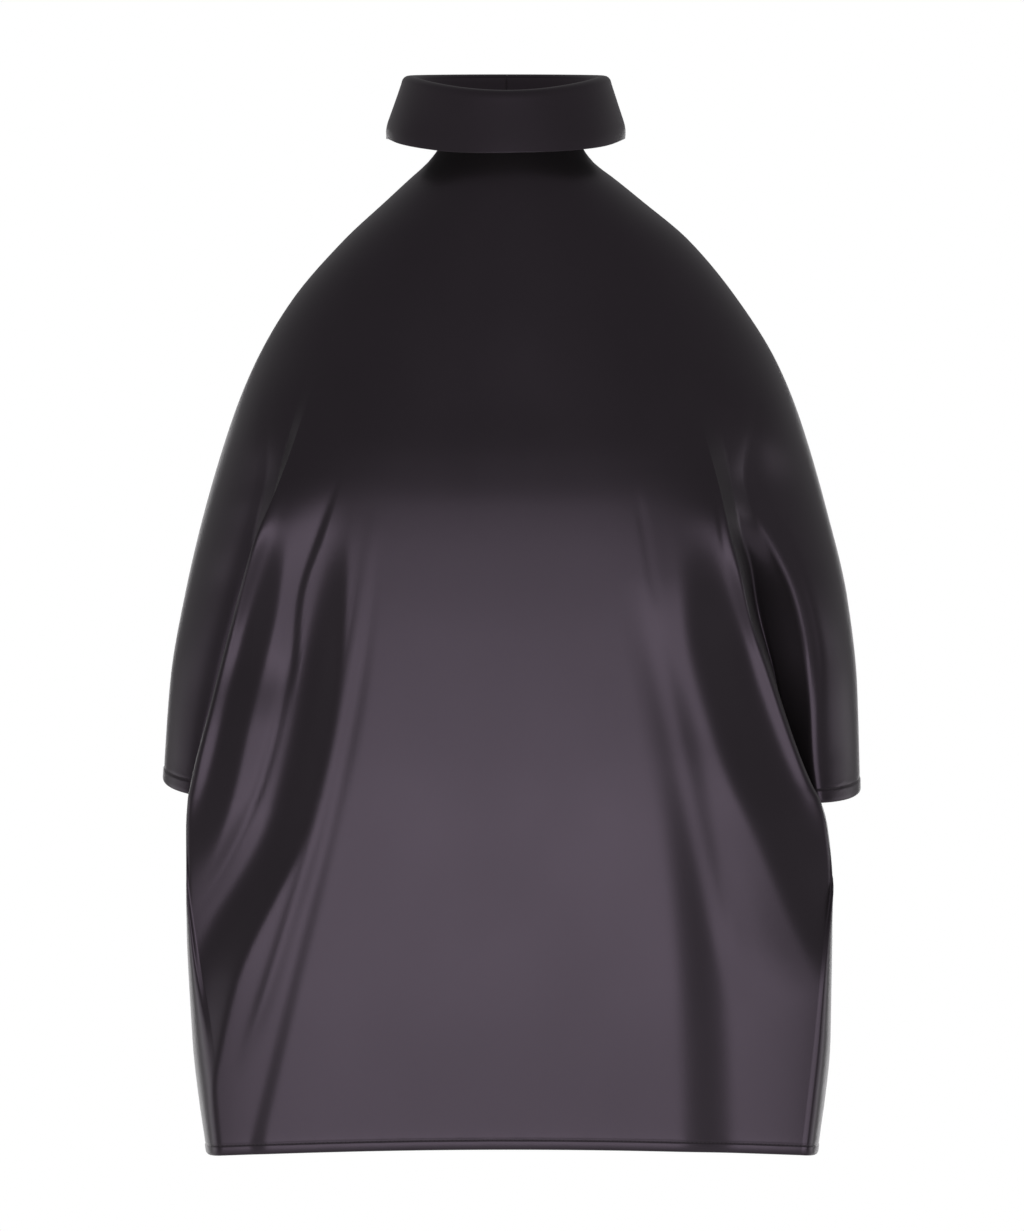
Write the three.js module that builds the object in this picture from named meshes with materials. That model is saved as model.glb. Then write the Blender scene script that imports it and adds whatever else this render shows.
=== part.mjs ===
import * as THREE from "three";

// Worn top of heavy silk satin, hollow, in millimetres with +Z up. The origin is the middle of the
// neck at the foot of the collar, -Y is the front, and left means -X.

// Cloth and seams
const WALL = 1.4;
const SEAM_GAP = 0.3;

// Heights of the body
const NECK_Z = 3;
const BACK_NECK_RISE = 7;
const ARM_HEM_Z = -427;
const ARM_HEM_RISE = { left: 12, right: 5 };
const ARM_HEM_DIP = { left: 0, right: 4 };
const HEM_Z = -660;
const FRONT_HEM_RISE = 5;

// Depths of the body's middle at the front and back, and how square the plain oval of its plan is
const DEPTHS = [
  { z: 3, front: 56, back: 57, square: 2.0 },
  { z: -33, front: 73, back: 72, square: 2.0 },
  { z: -70, front: 87, back: 85, square: 2.1 },
  { z: -120, front: 103, back: 96, square: 2.2 },
  { z: -170, front: 116.4, back: 103, square: 2.6 },
  { z: -205, front: 123.2, back: 106, square: 3.0 },
  { z: -235, front: 126.9, back: 107.5, square: 3.2 },
  { z: -270, front: 129, back: 109, square: 3.2 },
  { z: -320, front: 130.3, back: 110, square: 3.2 },
  { z: -400, front: 130.8, back: 111, square: 3.2 },
  { z: -520, front: 127, back: 110, square: 3.2 },
  { z: -660, front: 119, back: 107, square: 3.2 },
];

// Distance of the outline from the middle at each section: the overarm line down to the arm hem,
// then the side of the body
const OUTLINE = [
  { z: 3, left: 46.5, right: 46.5 },
  { z: -6.6, left: 53.5, right: 53 },
  { z: -20, left: 68, right: 70 },
  { z: -33, left: 82, right: 86 },
  { z: -59, left: 110, right: 117 },
  { z: -99, left: 144.5, right: 150 },
  { z: -139, left: 168, right: 175 },
  { z: -178, left: 184, right: 191 },
  { z: -238, left: 202, right: 208.5 },
  { z: -297, left: 215, right: 222 },
  { z: -356, left: 224.5, right: 228.5 },
  { z: -427, left: 229.5, right: 230.5 },
];
const SIDES = [
  { z: -427, left: 213, right: 206 },
  { z: -502, left: 213.5, right: 211.5 },
  { z: -581, left: 210, right: 210.5 },
  { z: -620, left: 206, right: 207 },
  { z: -660, left: 200.5, right: 202 },
];

// Each arm side is parted from the body by a tuck: the body's cloth turns back at an edge, runs in
// to the floor of the tuck and out again over the ridge of the arm side. Distances from the middle.
const FRONT_TUCKS = [
  { z: 3, leftEdge: 30, leftFloor: 37, rightEdge: 28, rightFloor: 36 },
  { z: -33, leftEdge: 57, leftFloor: 65, rightEdge: 53, rightFloor: 66 },
  { z: -99, leftEdge: 105, leftFloor: 117, rightEdge: 92, rightFloor: 111 },
  { z: -178, leftEdge: 136, leftFloor: 142, rightEdge: 122, rightFloor: 138 },
  { z: -209, leftEdge: 147, leftFloor: 150, rightEdge: 132, rightFloor: 144 },
  { z: -232, leftEdge: 156, leftFloor: 156, rightEdge: 138, rightFloor: 149.5 },
  { z: -257, leftEdge: 167, leftFloor: 162, rightEdge: 144, rightFloor: 160 },
  { z: -277, leftEdge: 173, leftFloor: 167, rightEdge: 150, rightFloor: 167 },
  { z: -307, leftEdge: 181, leftFloor: 171, rightEdge: 156.5, rightFloor: 168 },
  { z: -343, leftEdge: 190.5, leftFloor: 174, rightEdge: 169, rightFloor: 174 },
  { z: -373, leftEdge: 198, leftFloor: 175, rightEdge: 179, rightFloor: 178 },
  { z: -401, leftEdge: 205.5, leftFloor: 176, rightEdge: 189.2, rightFloor: 179 },
  { z: -419, leftEdge: 209.5, leftFloor: 176, rightEdge: 197, rightFloor: 179 },
  { z: -427, leftEdge: 211, leftFloor: 176, rightEdge: 201.5, rightFloor: 179 },
  { z: -445, leftEdge: 212, leftFloor: 180, rightEdge: 206.5, rightFloor: 182 },
  { z: -480, leftEdge: 211, leftFloor: 194, rightEdge: 209.5, rightFloor: 195 },
  { z: -520, leftEdge: 206, leftFloor: 212, rightEdge: 205, rightFloor: 210 },
  { z: -590, leftEdge: 188, leftFloor: 209.5, rightEdge: 194, rightFloor: 210.3 },
  { z: -660, leftEdge: 180, leftFloor: 200, rightEdge: 184, rightFloor: 201.5 },
];
const BACK_TUCKS = [
  { z: 3, leftEdge: 30, leftFloor: 37, rightEdge: 30, rightFloor: 37 },
  { z: -33, leftEdge: 57, leftFloor: 66, rightEdge: 58, rightFloor: 68 },
  { z: -99, leftEdge: 103, leftFloor: 118, rightEdge: 107, rightFloor: 121 },
  { z: -178, leftEdge: 136, leftFloor: 148, rightEdge: 142, rightFloor: 152 },
  { z: -232, leftEdge: 154, leftFloor: 158, rightEdge: 158, rightFloor: 162 },
  { z: -257, leftEdge: 163, leftFloor: 166, rightEdge: 166, rightFloor: 169 },
  { z: -356, leftEdge: 188, leftFloor: 175, rightEdge: 188, rightFloor: 176 },
  { z: -427, leftEdge: 205, leftFloor: 175, rightEdge: 201, rightFloor: 178 },
  { z: -445, leftEdge: 207, leftFloor: 180, rightEdge: 204, rightFloor: 182 },
  { z: -480, leftEdge: 206, leftFloor: 194, rightEdge: 204, rightFloor: 195 },
  { z: -520, leftEdge: 200, leftFloor: 212, rightEdge: 198, rightFloor: 210 },
  { z: -590, leftEdge: 184, leftFloor: 209.5, rightEdge: 184, rightFloor: 210.3 },
  { z: -660, leftEdge: 172, leftFloor: 200, rightEdge: 173, rightFloor: 201.5 },
];

// Depths of the tuck's edge on each face and of its floor on each side, and where the ridge of the
// arm side lies and how deep it is
const TUCK_DEPTHS = [
  { z: -130, front: 94, back: 88, left: 90, right: 90 },
  { z: -170, front: 98, back: 90, left: 92, right: 92 },
  { z: -205, front: 104, back: 92, left: 92, right: 92 },
  { z: -220, front: 108, back: 93, left: 88, right: 90 },
  { z: -235, front: 112, back: 94, left: 80, right: 80 },
  { z: -250, front: 114, back: 95, left: 70, right: 68 },
  { z: -266, front: 115.5, back: 95.5, left: 60, right: 60 },
  { z: -289, front: 116, back: 96, left: 52, right: 53 },
  { z: -310, front: 116, back: 96, left: 45, right: 46 },
  { z: -358, front: 116, back: 96, left: 30, right: 36 },
  { z: -400, front: 116, back: 96, left: 14, right: 22 },
  { z: -427, front: 115, back: 96, left: 1.55, right: 1.55 },
  { z: -520, front: 114, back: 95, left: 0.15, right: 0.15 },
  { z: -660, front: 110, back: 92, left: 0.15, right: 0.15 },
];
const ARM_RIDGES = [
  { z: -130, left: 140, right: 138, leftDepth: 92, rightDepth: 92 },
  { z: -178, left: 152, right: 148, leftDepth: 87, rightDepth: 87 },
  { z: -209, left: 158, right: 151, leftDepth: 83, rightDepth: 83 },
  { z: -232, left: 163, right: 156.5, leftDepth: 80, rightDepth: 80 },
  { z: -244, left: 166, right: 162, leftDepth: 77, rightDepth: 77 },
  { z: -266, left: 171, right: 173, leftDepth: 72, rightDepth: 71 },
  { z: -289, left: 176, right: 184, leftDepth: 66, rightDepth: 66 },
  { z: -310, left: 181, right: 190.5, leftDepth: 62, rightDepth: 62 },
  { z: -332, left: 187, right: 194.5, leftDepth: 57, rightDepth: 58 },
  { z: -358, left: 193, right: 196.5, leftDepth: 52, rightDepth: 56 },
  { z: -393, left: 202, right: 197.5, leftDepth: 47, rightDepth: 54 },
  { z: -427, left: 208, right: 201, leftDepth: 44, rightDepth: 53 },
];

// How the tuck is drawn. Above the flat span the plan is a plain oval, and in the tuck span the tuck
// opens. Below the arm hem it closes to a plain rounded corner at the foot of the joined span.
const FLAT_SPAN = [-130, -225];
const TUCK_SPAN = { left: [-225, -350], right: [-225, -320] };
const JOINED_SPAN = [ARM_HEM_Z, -500];
const EDGE_SQUARE = 8;
const EDGE_EASE = 5;
const EDGE_SHARE_MOST = 0.985;
const FLOOR_SHARE_LEAST = 0.02;
const TUCK_OUT = 2;
const TUCK_BACK = { left: 0.8, right: 0.66 };
const TUCK_IN = -8;
const TUCK_MIDDLE = { left: 50, right: 30 };
const CLOSED_TURN = 0.67;
const CLOSED_DEPTH = 0.5;
const CORNER_SIDE = 0.8;
const CORNER_OUT = 0.2;
const CORNER_EDGE = 0.95;
const CORNER_DEPTH = 0.62;
const FLOOR_RUN = { left: 0.4, right: 0.95 };
const RIDGE_TURN = { left: 0.28, right: 0.2 };
const RIDGE_NEAR = 0.94;
const RIDGE_PAST = 0.92;
const RIDGE_SHARE = 0.4;

// The largest folds of each panel. A fold runs from its top to its foot through five places evenly
// spaced in height. A step drops the cloth towards the side over its length, at once where its ease
// is 0.5 and softly where it is 1. A ridge rises by its rise, with a width inwards and outwards.
const FRONT_FOLDS = [
  // Left side, from the arm inwards: ridge of the edge, swag, crease, long fold and its ridge
  { top: -205, foot: -440, at: [-140, -166, -180, -194, -206], rise: 1.6, inner: 12, outer: 8 },
  { top: -235, foot: -490, at: [-136, -146, -156.5, -170, -198], drop: 11, length: 34, ease: 0.85 },
  { top: -212, foot: -515, at: [-113, -138.5, -150, -167.5, -212], drop: 3, length: 7, ease: 0.5 },
  { top: -240, foot: -655, at: [-96, -108.5, -131, -176, -202], drop: 15, length: 32, ease: 0.72 },
  { top: -235, foot: -650, at: [-91, -104, -126, -170, -194], rise: 1.6, inner: 5, outer: 4 },
  // Right side: broad fold, long ridge, ridge of the edge, soft fold
  { top: -250, foot: -560, at: [107, 115, 132, 168, 208], drop: 20, length: 54, ease: 1 },
  { top: -230, foot: -565, at: [80, 97, 115, 149, 200], rise: 2.5, inner: 6, outer: 10 },
  { top: -245, foot: -430, at: [132, 141, 154, 174, 197], rise: 2, inner: 9, outer: 6 },
  { top: -280, foot: -665, at: [64, 80, 94, 104, 106], drop: 6.5, length: 42, ease: 1 },
];
const BACK_FOLDS = [
  // Left side: long fold, swag, ridge
  { top: -230, foot: -620, at: [-92, -106, -128, -160, -196], drop: 10, length: 34, ease: 0.8 },
  { top: -250, foot: -500, at: [-132, -143, -156, -176, -205], drop: 7, length: 26, ease: 0.8 },
  { top: -210, foot: -662, at: [-52, -62, -70, -84, -102], rise: 3, inner: 12, outer: 12 },
  // Right side: long fold, swag, ridge
  { top: -215, foot: -640, at: [95, 104, 124, 152, 190], drop: 9, length: 36, ease: 0.75 },
  { top: -270, foot: -520, at: [140, 148, 160, 180, 206], drop: 8, length: 28, ease: 0.8 },
  { top: -240, foot: -662, at: [50, 60, 74, 90, 110], rise: 3, inner: 12, outer: 12 },
];
const FOLD_OPENING = 0.4;
const FOLD_CLOSING = { share: 0.3, most: 60 };
const FOLD_NARROWEST = 0.6;
const FOLD_TO_HEM = HEM_Z + 15;

// Grid of a panel: how many steps go into each zone of the cloth, on each side of the middle. Rows lie
// closer at the neck, so that each span of rows has a share that is even and a share that quickens.
const FRONT_STEPS = { body: 24, tuck: 5, arm: 8, upper: 20, lower: 13 };
const BACK_STEPS = { body: 12, tuck: 4, arm: 6, upper: 15, lower: 8 };
const UPPER_ROWS = { even: 0.5, quicker: 0.8, slower: -0.3 };
const LOWER_ROWS = { even: 0.6, quicker: 0.4, slower: 0 };
const NECK_RISE_FOOT = -70;
const ARM_LIFT_TOP = -200;
const HEM_RISE_TOP = -560;
const HEM_RISE_REACH = 205;
const TUCK_FOLD_FADE = 2;

// Collar: a folded band whose stand leans out from the neckline and whose fall hangs outside it
const COLLAR_WALL = 2;
const COLLAR_SHIFT = -3;
const COLLAR_STEPS = 40;
const STAND_SHARE = 0.4;
const RIM_SHARE = 0.6;
const COLLAR_SHARES = [0, 0.13, 0.27, 0.4, 0.44, 0.48, 0.52, 0.56, 0.6, 0.73, 0.87, 1];
const COLLAR_GAP = 0.42;
const NECK_WIDTH = 45.2;
const NECK_DEPTH = 55.7;
const RIM_RADIUS = 3.2;
const RIM_Z = 47.5;
const RIM_TILT = 0.049;
const RIM_FRONT_DIP = 8.7;
const RIM_WIDTH = 67.3;
const RIM_DEPTH = 70;
const FALL_HEIGHT = 40.4;
const FALL_WIDTH = 79.5;
const FALL_DEPTH = 75;

// Shank buttons at the nape, and the cord loops that go round their shanks. The frame of each pair
// lies a little to the right of the seam.
const BUTTON_RADIUS = 5.5;
const BUTTON_HEAD = 3;
const SHANK_RADIUS = 3.6;
const SHANK_HEIGHT = 2.6;
const BUTTON_SIDES = 18;
const BUTTON_DOWN = { upper: 12, lower: 28 };
const PAIR_SIDE = 4.5;
const BUTTON_SIDE = 8;
const LOOP_CORD = 0.9;
const LOOP_PLAY = 0.55;
const LOOP_LEG = 1.7;
const LOOP_END = -6;
const LOOP_TURN = { from: 0.22, through: 1.56 };

function smooth(from, to, value) {
  const t = Math.min(Math.max((value - from) / (to - from), 0), 1);
  return t * t * (3 - 2 * t);
}

// A column of a table at a height, through a cubic that keeps to the rows on both sides of it
function along(table, column, z) {
  const last = table.length - 1;
  const height = Math.min(Math.max(z, table[last].z), table[0].z);
  let k = 0;
  while (k < last - 1 && height < table[k + 1].z) k += 1;
  const slope = (i) => (table[i + 1][column] - table[i][column]) / (table[i + 1].z - table[i].z);
  const tangent = (i) => {
    if (i === 0) return slope(0);
    if (i === last) return slope(last - 1);
    const before = slope(i - 1);
    const after = slope(i);
    return before * after <= 0 ? 0 : (2 * before * after) / (before + after);
  };
  const span = table[k + 1].z - table[k].z;
  const t = (height - table[k].z) / span;
  const from = (2 * t ** 3 - 3 * t ** 2 + 1) * table[k][column];
  const to = (3 * t ** 2 - 2 * t ** 3) * table[k + 1][column];
  const leave = (t ** 3 - 2 * t ** 2 + t) * span * tangent(k);
  const arrive = (t ** 3 - t ** 2) * span * tangent(k + 1);
  return from + to + leave + arrive;
}

function bezier(a, b, c, d, t) {
  const s = 1 - t;
  return s ** 3 * a + 3 * s ** 2 * t * b + 3 * s * t ** 2 * c + t ** 3 * d;
}

function mix(a, b, share) {
  return a + (b - a) * share;
}

// The folds that are open at a height, each with its place and its sizes there
function openFolds(folds, z) {
  const open = [];
  folds.forEach((fold) => {
    const length = fold.top - fold.foot;
    const rows = fold.at.map((x, i) => ({ z: fold.top - (length * i) / 4, x }));
    const closing = Math.min(FOLD_CLOSING.most, FOLD_CLOSING.share * length);
    const opens = smooth(fold.top, fold.top - FOLD_OPENING * length, z);
    const closes = fold.foot > FOLD_TO_HEM ? smooth(fold.foot + closing, fold.foot, z) : 0;
    const strength = opens * (1 - closes);
    if (strength === 0) return;
    const slant = Math.hypot(1, (along(rows, "x", z - 2) - along(rows, "x", z + 2)) / 4);
    open.push({
      ...fold,
      x: along(rows, "x", z),
      strength,
      inner: fold.inner * slant,
      outer: fold.outer * slant,
      length: fold.length * slant * mix(FOLD_NARROWEST, 1, opens),
    });
  });
  return open;
}

// How far the open folds carry the cloth out, or in where negative, at a distance from the middle
function foldRelief(x, open) {
  let relief = 0;
  open.forEach((fold) => {
    const off = (x - fold.x) * Math.sign(fold.x);
    if (fold.drop) {
      const passed = Math.min(Math.max(off / fold.length, 0), 1) ** fold.ease;
      relief -= fold.drop * fold.strength * smooth(0, 1, passed);
    } else {
      const share = off / (off < 0 ? fold.inner : fold.outer);
      relief += fold.rise * fold.strength * Math.exp(-share * share);
    }
  });
  return relief;
}

// The neckline rises to the back, by its share of the way from the side to the nape
function neckRise(backward) {
  return BACK_NECK_RISE * Math.min(Math.max(backward, 0), 1) ** 2;
}

// Everything that one side of the body measures at a height. The tuck is given by four points of a
// curve from its edge to its floor.
function sideSizes(face, side, z) {
  const tucks = face === "front" ? FRONT_TUCKS : BACK_TUCKS;
  const above = z > ARM_HEM_Z - 0.01;
  const outline = along(above ? OUTLINE : SIDES, side, z);
  const edge = along(tucks, side + "Edge", z);
  const floor = along(tucks, side + "Floor", z);
  const edgeShare = Math.min(edge / outline, EDGE_SHARE_MOST);
  const deep = along(TUCK_DEPTHS, face, z);
  const foot = along(TUCK_DEPTHS, side, z);
  const high = along(ARM_RIDGES, side + "Depth", z);
  const opened = smooth(...TUCK_SPAN[side], z);
  const joined = smooth(...JOINED_SPAN, z);
  const middle = Math.max(TUCK_MIDDLE[side], foot);
  const tuckX = [
    edge,
    edge + TUCK_OUT * opened,
    mix(mix(edge, floor, CLOSED_TURN), edge + TUCK_IN, opened),
    floor,
  ];
  const tuckY = [
    deep,
    mix(deep, deep * TUCK_BACK[side], opened),
    mix(mix(deep, high, CLOSED_DEPTH), middle, opened),
    mix(mix(deep, high, 0.7), foot, opened),
  ];
  const cornerX = [edge, mix(edge, outline, CORNER_SIDE), outline + CORNER_OUT * (outline - floor), floor];
  const cornerY = [deep, CORNER_EDGE * deep, CORNER_DEPTH * deep, SEAM_GAP / 2];
  return {
    outline,
    depth: along(DEPTHS, face, z),
    square: along(DEPTHS, "square", z),
    flat: smooth(...FLAT_SPAN, z),
    edgeShare,
    floorShare: above ? Math.min(Math.max(floor / outline, edgeShare + FLOOR_SHARE_LEAST), 1) : 1,
    tuckX: tuckX.map((x, i) => mix(x, cornerX[i], joined)),
    tuckY: tuckY.map((y, i) => mix(y, cornerY[i], joined)),
    opened,
    turned: opened * (1 - joined),
    ridge: along(ARM_RIDGES, side, z),
    high,
  };
}

// A place in the plain oval, its steps spread by angle near the seam
function plainPoint(zone, t, at) {
  const rim = SEAM_GAP / 2;
  const edgeAngle = Math.asin(at.edgeShare);
  const floorAngle = Math.asin(at.floorShare);
  let share = at.edgeShare * t;
  if (zone === 1) share = Math.sin(mix(edgeAngle, floorAngle, t));
  if (zone === 2) share = Math.sin(mix(floorAngle, Math.PI / 2, t));
  const fall = Math.max(1 - share ** at.square, 0) ** (1 / at.square);
  return { x: at.outline * share, y: rim + (at.depth - rim) * fall };
}

// A place in the drawn form: flat in front, round the tuck and over the arm side
function drawnPoint(side, zone, t, at) {
  const edge = at.tuckX[0];
  const deep = at.tuckY[0];
  if (zone === 0) {
    const rounded = Math.max(1 - t ** EDGE_SQUARE, 0) ** (1 / EDGE_SQUARE);
    return { x: edge * t, y: mix(deep, at.depth, mix(1 - t ** EDGE_EASE, rounded, at.turned)) };
  }
  if (zone === 1) return { x: bezier(...at.tuckX, t), y: bezier(...at.tuckY, t) };
  const floor = at.tuckX[3];
  const foot = at.tuckY[3];
  if (t >= RIDGE_SHARE) {
    const s = (t - RIDGE_SHARE) / (1 - RIDGE_SHARE);
    return {
      x: bezier(at.ridge, mix(at.ridge, at.outline, 0.5), at.outline, at.outline, s),
      y: bezier(at.high, RIDGE_PAST * at.high, 0.5 * at.high, SEAM_GAP / 2, s),
    };
  }
  const s = t / RIDGE_SHARE;
  const climb = at.ridge - floor;
  const leaveX = mix(floor + climb / 3, floor + FLOOR_RUN[side] * climb, at.opened);
  const arriveX = mix(at.ridge - climb / 3, at.ridge - RIDGE_TURN[side] * climb, at.opened);
  const leaveY = mix(mix(foot, at.high, 1 / 3), foot, at.opened);
  const arriveY = mix(mix(foot, at.high, 2 / 3), RIDGE_NEAR * at.high, at.opened);
  return { x: bezier(floor, leaveX, arriveX, at.ridge, s), y: bezier(foot, leaveY, arriveY, at.high, s) };
}

// A place in the plan of one side, by its zone (0 body, 1 tuck, 2 arm) and the share of it passed
function planPoint(side, zone, t, at) {
  const spread = zone === 0 ? 0.5 * t + 0.5 * Math.sin((t * Math.PI) / 2) : t;
  const plain = plainPoint(zone, spread, at);
  const drawn = drawnPoint(side, zone, spread, at);
  return { x: mix(plain.x, drawn.x, at.flat), y: mix(plain.y, drawn.y, at.flat) };
}

// One side of a panel as a list of columns from the middle to the seam
function columns(steps) {
  const list = [];
  for (let i = 0; i <= steps.body; i += 1) list.push({ zone: 0, t: i / steps.body });
  for (let i = 1; i <= steps.tuck; i += 1) list.push({ zone: 1, t: i / steps.tuck });
  for (let i = 1; i <= steps.arm; i += 1) list.push({ zone: 2, t: i / steps.arm });
  return list;
}

// Heights of a panel's rows, closest at the neck and below the arm hem
function rowHeights(steps) {
  const heights = [];
  const reached = (rows, t) => rows.even * t + rows.quicker * t ** 2 + rows.slower * t ** 3;
  for (let i = 0; i <= steps.upper; i += 1) {
    heights.push(mix(NECK_Z, ARM_HEM_Z, reached(UPPER_ROWS, i / steps.upper)));
  }
  for (let i = 1; i <= steps.lower; i += 1) {
    heights.push(mix(ARM_HEM_Z, HEM_Z, reached(LOWER_ROWS, i / steps.lower)));
  }
  return heights;
}

// The height of a point of a row: the neckline rises at the back, the arm hems rise to the side and
// the hem rises in the middle of the front
function pointHeight(rowZ, point, front) {
  let z = rowZ;
  if (!front) z += neckRise(point.y / DEPTHS[0].back) * (1 - smooth(NECK_Z, NECK_RISE_FOOT, rowZ));
  if (point.zone === 2) {
    const lift = ARM_HEM_RISE[point.side] * point.t ** 2;
    const dip = ARM_HEM_DIP[point.side] * 4 * point.t * (1 - point.t);
    z += (lift - dip) * smooth(ARM_LIFT_TOP, ARM_HEM_Z, rowZ);
  }
  if (front) {
    const inside = Math.max(1 - (point.x / HEM_RISE_REACH) ** 2, 0);
    z += FRONT_HEM_RISE * smooth(HEM_RISE_TOP, HEM_Z, rowZ) * inside;
  }
  return z;
}

// The outer face of a panel as a grid of points, folds included
function panelGrid(face, sides, steps) {
  const front = face === "front";
  const turn = front ? -1 : 1;
  const half = columns(steps);
  const places = [];
  if (sides.includes("left")) half.slice().reverse().forEach((c) => places.push({ ...c, side: "left" }));
  if (sides.includes("right")) {
    half.slice(sides.length === 2 ? 1 : 0).forEach((c) => places.push({ ...c, side: "right" }));
  }
  return rowHeights(steps).map((rowZ) => {
    const sizes = Object.fromEntries(sides.map((side) => [side, sideSizes(face, side, rowZ)]));
    const open = openFolds(front ? FRONT_FOLDS : BACK_FOLDS, rowZ);
    return places.map((place) => {
      const sign = place.side === "left" ? -1 : 1;
      const plan = planPoint(place.side, place.zone, place.t, sizes[place.side]);
      const point = { ...place, x: sign * plan.x, y: turn * plan.y };
      const reach = [1, Math.max(1 - TUCK_FOLD_FADE * place.t, 0), 0][place.zone];
      const seam = sides.length === 1 && Math.abs(point.x) < 0.01 ? (sign * SEAM_GAP) / 2 : 0;
      const y = point.y + turn * reach * foldRelief(point.x, open);
      return new THREE.Vector3(point.x + seam, y, pointHeight(rowZ, point, front));
    });
  });
}

// Outward normals of a grid, averaged from its faces. Where the cloth ends at a seam, the normal is
// laid in the plane of that seam, so that the two walls stay apart.
function gridNormals(grid, present, outward, seamAxes) {
  const normals = grid.map((row) => row.map(() => new THREE.Vector3()));
  for (let i = 0; i < grid.length - 1; i += 1) {
    for (let j = 0; j < grid[i].length - 1; j += 1) {
      if (!present(i, j)) continue;
      const across = grid[i][j + 1].clone().sub(grid[i + 1][j]);
      const down = grid[i + 1][j + 1].clone().sub(grid[i][j]);
      const normal = down.cross(across).multiplyScalar(outward);
      [[i, j], [i, j + 1], [i + 1, j], [i + 1, j + 1]].forEach(([a, b]) => normals[a][b].add(normal));
    }
  }
  return normals.map((row, i) => row.map((normal, j) => {
    seamAxes(i, j).forEach((axis) => {
      normal[axis] = 0;
    });
    return normal.normalize();
  }));
}

// A closed wall from a grid of outer points and the cells that are cloth. Edges that only one cell
// uses get the strip that closes the wall.
function clothWall(grid, present, outward, wall, seamAxes) {
  const normals = gridNormals(grid, present, outward, seamAxes);
  const columnsCount = grid[0].length;
  const size = grid.length * columnsCount;
  const positions = [];
  grid.forEach((row) => row.forEach((point) => positions.push(point.x, point.y, point.z)));
  grid.forEach((row, i) => row.forEach((point, j) => {
    const inner = point.clone().addScaledVector(normals[i][j], -wall);
    positions.push(inner.x, inner.y, inner.z);
  }));
  const index = [];
  const quad = (a, b, c, d) => index.push(a, b, c, a, c, d);
  const uses = new Map();
  for (let i = 0; i < grid.length - 1; i += 1) {
    for (let j = 0; j < columnsCount - 1; j += 1) {
      if (!present(i, j)) continue;
      const a = i * columnsCount + j;
      const corners = [a, a + columnsCount, a + columnsCount + 1, a + 1];
      const falling = grid[i][j].distanceTo(grid[i + 1][j + 1]);
      const rising = grid[i + 1][j].distanceTo(grid[i][j + 1]);
      const turned = rising < falling ? [...corners.slice(1), corners[0]] : corners;
      const back = [turned[0], turned[3], turned[2], turned[1]];
      const loop = outward < 0 ? back : turned;
      const other = outward < 0 ? turned : back;
      quad(...loop);
      quad(...other.map((v) => v + size));
      loop.forEach((v, k) => {
        const next = loop[(k + 1) % 4];
        const key = `${Math.min(v, next)}_${Math.max(v, next)}`;
        if (uses.has(key)) uses.delete(key);
        else uses.set(key, [v, next]);
      });
    }
  }
  uses.forEach(([v, next]) => quad(next, v, v + size, next + size));
  return closedGeometry(positions, index);
}

// Keeps the points that the faces use, numbered anew
function closedGeometry(positions, index) {
  const renumbered = new Map();
  const kept = [];
  const faces = index.map((v) => {
    if (!renumbered.has(v)) {
      renumbered.set(v, renumbered.size);
      kept.push(positions[3 * v], positions[3 * v + 1], positions[3 * v + 2]);
    }
    return renumbered.get(v);
  });
  const geometry = new THREE.BufferGeometry();
  geometry.setAttribute("position", new THREE.Float32BufferAttribute(kept, 3));
  geometry.setIndex(faces);
  geometry.computeVertexNormals();
  return geometry;
}

// A panel's wall. Below the arm hem only the body's columns are cloth.
function panelGeometry(face, sides, steps) {
  const grid = panelGrid(face, sides, steps);
  const wide = grid[0].length - 1;
  const hasLeft = sides.includes("left");
  const hasRight = sides.includes("right");
  const present = (i, j) => i < steps.upper
    || ((!hasLeft || j >= steps.arm) && (!hasRight || j < wide - steps.arm));
  const seamAxes = (i, j) => {
    const axes = i === 0 ? ["z"] : [];
    const outerLeft = hasLeft && (j === 0 || (i > steps.upper && j === steps.arm));
    const outerRight = hasRight && (j === wide || (i > steps.upper && j === wide - steps.arm));
    if (outerLeft || outerRight) axes.push("y");
    if (sides.length === 1 && (hasLeft ? j === wide : j === 0)) axes.push("x");
    return axes;
  };
  return clothWall(grid, present, face === "front" ? 1 : -1, WALL, seamAxes);
}

// A point on the collar's visible face, at an angle round the neck from the front and a share of the
// band passed from the foot of its stand, over the rim, to the edge of its fall
function collarPoint(angle, share) {
  const toFront = Math.max(Math.cos(angle), 0);
  const reachX = Math.sin(angle);
  const reachY = -Math.cos(angle);
  const rimZ = RIM_Z + RIM_TILT * RIM_DEPTH * reachY - RIM_FRONT_DIP * toFront ** 2;
  const footZ = NECK_Z + SEAM_GAP + neckRise(reachY);
  const rimFoot = rimZ - RIM_RADIUS;
  const innerWidth = RIM_WIDTH - 2 * RIM_RADIUS;
  const innerDepth = RIM_DEPTH - 2 * RIM_RADIUS;
  let wide = 0;
  let deep = 0;
  let z = 0;
  if (share < STAND_SHARE) {
    const t = share / STAND_SHARE;
    wide = mix(NECK_WIDTH, innerWidth, t);
    deep = mix(NECK_DEPTH, innerDepth, t);
    z = mix(footZ, rimFoot, t);
  } else if (share < RIM_SHARE) {
    const turn = ((share - STAND_SHARE) / (RIM_SHARE - STAND_SHARE)) * Math.PI;
    wide = innerWidth + RIM_RADIUS * (1 - Math.cos(turn));
    deep = innerDepth + RIM_RADIUS * (1 - Math.cos(turn));
    z = rimFoot + RIM_RADIUS * Math.sin(turn);
  } else {
    const t = (share - RIM_SHARE) / (1 - RIM_SHARE);
    wide = mix(RIM_WIDTH, FALL_WIDTH, t);
    deep = mix(RIM_DEPTH, FALL_DEPTH, t);
    z = rimFoot - (FALL_HEIGHT - RIM_RADIUS) * t;
  }
  return new THREE.Vector3(COLLAR_SHIFT * smooth(0, 0.3, share) + wide * reachX, deep * reachY, z);
}

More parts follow.
